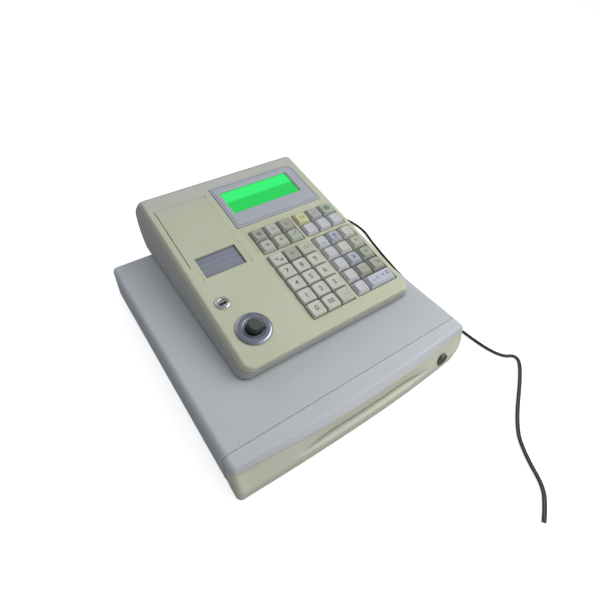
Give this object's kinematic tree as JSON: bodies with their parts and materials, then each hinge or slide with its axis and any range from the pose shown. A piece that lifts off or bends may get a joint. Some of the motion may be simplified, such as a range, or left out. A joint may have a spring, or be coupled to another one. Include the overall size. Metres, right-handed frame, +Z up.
{
  "type": "cash register",
  "caption": "Compact electronic cash register with sloping keyboard, printer lid, backlit display and key locks on a low sliding cash drawer.",
  "frame": {"origin": "centre of the drawer case's footprint, on the counter", "axes": "+X to the operator's right, +Y to the back of the register, +Z up; the operator stands on the -Y side"},
  "size_m": [0.3698, 0.559, 0.114],
  "materials": {
    "case_grey": "fine moulded texture",
    "cream": "fine moulded texture, slightly yellowed",
    "lower_grey": "fine moulded texture",
    "box_grey": "satin",
    "tray_dark": "satin",
    "rubber_black": "matte",
    "lock_dark": "satin",
    "bezel_lavender": "satin",
    "screen_green": "backlit display",
    "window_smoke": "smoky clear plastic",
    "paper": "thermal paper",
    "electronics": "circuit board and printer frame",
    "lock_metal": "satin nickel",
    "lock_chrome": "polished",
    "rotor_black": "satin",
    "cord_black": "satin",
    "key_white": "fine moulded texture",
    "key_cream": "fine moulded texture",
    "key_grey": "fine moulded texture",
    "key_moss": "fine moulded texture",
    "key_green": "fine moulded texture",
    "key_lilac": "fine moulded texture"
  },
  "bodies": {
    "register": {"drawer_base": "case_grey", "drawer_cover": "case_grey", "feet": "rubber_black", "lower_case": "lower_grey", "top_case": "cream", "display_bezel": "bezel_lavender", "display_screen": "screen_green", "electronics": "electronics", "lock_barrels": "lock_metal", "power_cord": "cord_black"},
    "cash_drawer": {"drawer_box": "box_grey", "drawer_front": "cream", "cash_tray": "tray_dark"},
    "drawer_lock": {"drawer_lock": "lock_dark"},
    "printer_lid": {"printer_lid": "cream", "lid_window": "window_smoke"},
    "paper_roll": {"paper_roll": "paper"},
    "mode_lock": {"mode_lock_rotor": "rotor_black"},
    "clerk_lock": {"clerk_lock_rotor": "lock_chrome"},
    "key_0": {"key_0": "key_white"},
    "key_00": {"key_00": "key_white"},
    "key_point": {"key_point": "key_cream"},
    "key_1": {"key_1": "key_white"},
    "key_2": {"key_2": "key_white"},
    "key_3": {"key_3": "key_white"},
    "key_4": {"key_4": "key_white"},
    "key_5": {"key_5": "key_white"},
    "key_6": {"key_6": "key_white"},
    "key_7": {"key_7": "key_white"},
    "key_8": {"key_8": "key_white"},
    "key_9": {"key_9": "key_white"},
    "key_code": {"key_code": "key_white"},
    "key_multiply": {"key_multiply": "key_grey"},
    "key_clear": {"key_clear": "key_cream"},
    "key_discount": {"key_discount": "key_grey"},
    "key_percent": {"key_percent": "key_cream"},
    "key_tax": {"key_tax": "key_cream"},
    "key_feed": {"key_feed": "key_grey"},
    "key_void": {"key_void": "key_cream"},
    "key_refund": {"key_refund": "key_cream"},
    "key_check": {"key_check": "key_grey"},
    "key_charge": {"key_charge": "key_white"},
    "key_exchange": {"key_exchange": "key_white"},
    "key_received": {"key_received": "key_green"},
    "key_paid_out": {"key_paid_out": "key_grey"},
    "key_no_sale": {"key_no_sale": "key_green"},
    "key_dept_1": {"key_dept_1": "key_white"},
    "key_dept_2": {"key_dept_2": "key_moss"},
    "key_dept_3": {"key_dept_3": "key_moss"},
    "key_dept_4": {"key_dept_4": "key_white"},
    "key_dept_5": {"key_dept_5": "key_moss"},
    "key_dept_6": {"key_dept_6": "key_moss"},
    "key_dept_7": {"key_dept_7": "key_white"},
    "key_dept_8": {"key_dept_8": "key_white"},
    "key_dept_9": {"key_dept_9": "key_moss"},
    "key_dept_10": {"key_dept_10": "key_white"},
    "key_dept_11": {"key_dept_11": "key_lilac"},
    "key_dept_12": {"key_dept_12": "key_white"},
    "key_subtotal": {"key_subtotal": "key_white"},
    "key_total": {"key_total": "key_lilac"}
  },
  "joints": [
    {"name": "drawer_slide", "type": "slide", "parent": "register", "child": "cash_drawer", "axis": [0, -1, 0], "range_m": [0, 0.23]},
    {"name": "drawer_lock_turn", "type": "hinge", "parent": "cash_drawer", "child": "drawer_lock", "pos_m": [0.112, -0.16, 0.021], "axis": [0, -1, 0], "range_deg": [-90, 0]},
    {"name": "printer_lid_hinge", "type": "hinge", "parent": "register", "child": "printer_lid", "pos_m": [-0.0525, 0.15409, 0.10788], "axis": [-1, 0, 0], "range_deg": [0, 80]},
    {"name": "paper_roll_spin", "type": "hinge", "parent": "register", "child": "paper_roll", "pos_m": [-0.0525, 0.11824, 0.07609], "axis": [1, 0, 0], "continuous": true},
    {"name": "mode_lock_turn", "type": "hinge", "parent": "register", "child": "mode_lock", "pos_m": [-0.0644, -0.04715, 0.07319], "axis": [0, -0.1805, 0.9836], "range_deg": [-60, 120]},
    {"name": "clerk_lock_turn", "type": "hinge", "parent": "register", "child": "clerk_lock", "pos_m": [-0.0777, -0.00368, 0.08116], "axis": [0, -0.1805, 0.9836], "range_deg": [-90, 0]},
    {"name": "key_0_press", "type": "slide", "parent": "register", "child": "key_0", "axis": [0, 0.1805, -0.9836], "range_m": [0, 0.0035], "stiffness_N_per_m": 150, "springref_m": -0.002},
    {"name": "key_00_press", "type": "slide", "parent": "register", "child": "key_00", "axis": [0, 0.1805, -0.9836], "range_m": [0, 0.0035], "stiffness_N_per_m": 150, "springref_m": -0.002},
    {"name": "key_point_press", "type": "slide", "parent": "register", "child": "key_point", "axis": [0, 0.1805, -0.9836], "range_m": [0, 0.0035], "stiffness_N_per_m": 150, "springref_m": -0.002},
    {"name": "key_1_press", "type": "slide", "parent": "register", "child": "key_1", "axis": [0, 0.1805, -0.9836], "range_m": [0, 0.0035], "stiffness_N_per_m": 150, "springref_m": -0.002},
    {"name": "key_2_press", "type": "slide", "parent": "register", "child": "key_2", "axis": [0, 0.1805, -0.9836], "range_m": [0, 0.0035], "stiffness_N_per_m": 150, "springref_m": -0.002},
    {"name": "key_3_press", "type": "slide", "parent": "register", "child": "key_3", "axis": [0, 0.1805, -0.9836], "range_m": [0, 0.0035], "stiffness_N_per_m": 150, "springref_m": -0.002},
    {"name": "key_4_press", "type": "slide", "parent": "register", "child": "key_4", "axis": [0, 0.1805, -0.9836], "range_m": [0, 0.0035], "stiffness_N_per_m": 150, "springref_m": -0.002},
    {"name": "key_5_press", "type": "slide", "parent": "register", "child": "key_5", "axis": [0, 0.1805, -0.9836], "range_m": [0, 0.0035], "stiffness_N_per_m": 150, "springref_m": -0.002},
    {"name": "key_6_press", "type": "slide", "parent": "register", "child": "key_6", "axis": [0, 0.1805, -0.9836], "range_m": [0, 0.0035], "stiffness_N_per_m": 150, "springref_m": -0.002},
    {"name": "key_7_press", "type": "slide", "parent": "register", "child": "key_7", "axis": [0, 0.1805, -0.9836], "range_m": [0, 0.0035], "stiffness_N_per_m": 150, "springref_m": -0.002},
    {"name": "key_8_press", "type": "slide", "parent": "register", "child": "key_8", "axis": [0, 0.1805, -0.9836], "range_m": [0, 0.0035], "stiffness_N_per_m": 150, "springref_m": -0.002},
    {"name": "key_9_press", "type": "slide", "parent": "register", "child": "key_9", "axis": [0, 0.1805, -0.9836], "range_m": [0, 0.0035], "stiffness_N_per_m": 150, "springref_m": -0.002},
    {"name": "key_code_press", "type": "slide", "parent": "register", "child": "key_code", "axis": [0, 0.1805, -0.9836], "range_m": [0, 0.0035], "stiffness_N_per_m": 150, "springref_m": -0.002},
    {"name": "key_multiply_press", "type": "slide", "parent": "register", "child": "key_multiply", "axis": [0, 0.1805, -0.9836], "range_m": [0, 0.0035], "stiffness_N_per_m": 150, "springref_m": -0.002},
    {"name": "key_clear_press", "type": "slide", "parent": "register", "child": "key_clear", "axis": [0, 0.1805, -0.9836], "range_m": [0, 0.0035], "stiffness_N_per_m": 150, "springref_m": -0.002},
    {"name": "key_discount_press", "type": "slide", "parent": "register", "child": "key_discount", "axis": [0, 0.1805, -0.9836], "range_m": [0, 0.0035], "stiffness_N_per_m": 150, "springref_m": -0.002},
    {"name": "key_percent_press", "type": "slide", "parent": "register", "child": "key_percent", "axis": [0, 0.1805, -0.9836], "range_m": [0, 0.0035], "stiffness_N_per_m": 150, "springref_m": -0.002},
    {"name": "key_tax_press", "type": "slide", "parent": "register", "child": "key_tax", "axis": [0, 0.1805, -0.9836], "range_m": [0, 0.0035], "stiffness_N_per_m": 150, "springref_m": -0.002},
    {"name": "key_feed_press", "type": "slide", "parent": "register", "child": "key_feed", "axis": [0, 0.1805, -0.9836], "range_m": [0, 0.0035], "stiffness_N_per_m": 150, "springref_m": -0.002},
    {"name": "key_void_press", "type": "slide", "parent": "register", "child": "key_void", "axis": [0, 0.1805, -0.9836], "range_m": [0, 0.0035], "stiffness_N_per_m": 150, "springref_m": -0.002},
    {"name": "key_refund_press", "type": "slide", "parent": "register", "child": "key_refund", "axis": [0, 0.1805, -0.9836], "range_m": [0, 0.0035], "stiffness_N_per_m": 150, "springref_m": -0.002},
    {"name": "key_check_press", "type": "slide", "parent": "register", "child": "key_check", "axis": [0, 0.1805, -0.9836], "range_m": [0, 0.0035], "stiffness_N_per_m": 150, "springref_m": -0.002},
    {"name": "key_charge_press", "type": "slide", "parent": "register", "child": "key_charge", "axis": [0, 0.1805, -0.9836], "range_m": [0, 0.0035], "stiffness_N_per_m": 150, "springref_m": -0.002},
    {"name": "key_exchange_press", "type": "slide", "parent": "register", "child": "key_exchange", "axis": [0, 0.1805, -0.9836], "range_m": [0, 0.0035], "stiffness_N_per_m": 150, "springref_m": -0.002},
    {"name": "key_received_press", "type": "slide", "parent": "register", "child": "key_received", "axis": [0, 0.1805, -0.9836], "range_m": [0, 0.0035], "stiffness_N_per_m": 150, "springref_m": -0.002},
    {"name": "key_paid_out_press", "type": "slide", "parent": "register", "child": "key_paid_out", "axis": [0, 0.1805, -0.9836], "range_m": [0, 0.0035], "stiffness_N_per_m": 150, "springref_m": -0.002},
    {"name": "key_no_sale_press", "type": "slide", "parent": "register", "child": "key_no_sale", "axis": [0, 0.1805, -0.9836], "range_m": [0, 0.0035], "stiffness_N_per_m": 150, "springref_m": -0.002},
    {"name": "key_dept_1_press", "type": "slide", "parent": "register", "child": "key_dept_1", "axis": [0, 0.1805, -0.9836], "range_m": [0, 0.0035], "stiffness_N_per_m": 150, "springref_m": -0.002},
    {"name": "key_dept_2_press", "type": "slide", "parent": "register", "child": "key_dept_2", "axis": [0, 0.1805, -0.9836], "range_m": [0, 0.0035], "stiffness_N_per_m": 150, "springref_m": -0.002},
    {"name": "key_dept_3_press", "type": "slide", "parent": "register", "child": "key_dept_3", "axis": [0, 0.1805, -0.9836], "range_m": [0, 0.0035], "stiffness_N_per_m": 150, "springref_m": -0.002},
    {"name": "key_dept_4_press", "type": "slide", "parent": "register", "child": "key_dept_4", "axis": [0, 0.1805, -0.9836], "range_m": [0, 0.0035], "stiffness_N_per_m": 150, "springref_m": -0.002},
    {"name": "key_dept_5_press", "type": "slide", "parent": "register", "child": "key_dept_5", "axis": [0, 0.1805, -0.9836], "range_m": [0, 0.0035], "stiffness_N_per_m": 150, "springref_m": -0.002},
    {"name": "key_dept_6_press", "type": "slide", "parent": "register", "child": "key_dept_6", "axis": [0, 0.1805, -0.9836], "range_m": [0, 0.0035], "stiffness_N_per_m": 150, "springref_m": -0.002},
    {"name": "key_dept_7_press", "type": "slide", "parent": "register", "child": "key_dept_7", "axis": [0, 0.1805, -0.9836], "range_m": [0, 0.0035], "stiffness_N_per_m": 150, "springref_m": -0.002},
    {"name": "key_dept_8_press", "type": "slide", "parent": "register", "child": "key_dept_8", "axis": [0, 0.1805, -0.9836], "range_m": [0, 0.0035], "stiffness_N_per_m": 150, "springref_m": -0.002},
    {"name": "key_dept_9_press", "type": "slide", "parent": "register", "child": "key_dept_9", "axis": [0, 0.1805, -0.9836], "range_m": [0, 0.0035], "stiffness_N_per_m": 150, "springref_m": -0.002},
    {"name": "key_dept_10_press", "type": "slide", "parent": "register", "child": "key_dept_10", "axis": [0, 0.1805, -0.9836], "range_m": [0, 0.0035], "stiffness_N_per_m": 150, "springref_m": -0.002},
    {"name": "key_dept_11_press", "type": "slide", "parent": "register", "child": "key_dept_11", "axis": [0, 0.1805, -0.9836], "range_m": [0, 0.0035], "stiffness_N_per_m": 150, "springref_m": -0.002},
    {"name": "key_dept_12_press", "type": "slide", "parent": "register", "child": "key_dept_12", "axis": [0, 0.1805, -0.9836], "range_m": [0, 0.0035], "stiffness_N_per_m": 150, "springref_m": -0.002},
    {"name": "key_subtotal_press", "type": "slide", "parent": "register", "child": "key_subtotal", "axis": [0, 0.1805, -0.9836], "range_m": [0, 0.0035], "stiffness_N_per_m": 150, "springref_m": -0.002},
    {"name": "key_total_press", "type": "slide", "parent": "register", "child": "key_total", "axis": [0, 0.1805, -0.9836], "range_m": [0, 0.0035], "stiffness_N_per_m": 150, "springref_m": -0.002}
  ]
}
